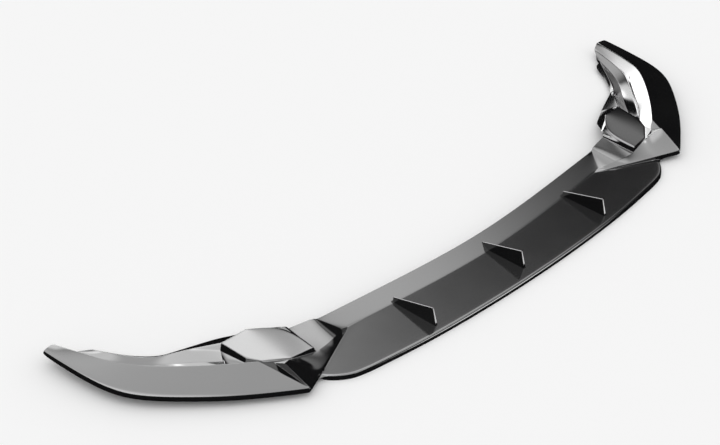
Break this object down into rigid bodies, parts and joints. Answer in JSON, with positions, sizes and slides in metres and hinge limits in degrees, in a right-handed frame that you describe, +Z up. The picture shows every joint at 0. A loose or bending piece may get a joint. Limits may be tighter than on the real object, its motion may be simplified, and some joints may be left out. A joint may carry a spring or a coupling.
{
  "type": "front splitter lip",
  "caption": "One-piece car front splitter lip: a flat blade with upright fins, a raised rear strip and end wings with seat pads for the bumper.",
  "frame": {"origin": "middle of the bounding box at its lowest level, the ground plane under the blade's edge", "axes": "+X across the car, +Y from the blade's front edge to the rear of the wings, +Z up"},
  "size_m": [1.85, 0.526, 0.056],
  "materials": {
    "gloss_black": "high gloss black, moulded"
  },
  "bodies": {
    "root": {"splitter_lip": "gloss_black"}
  },
  "joints": []
}
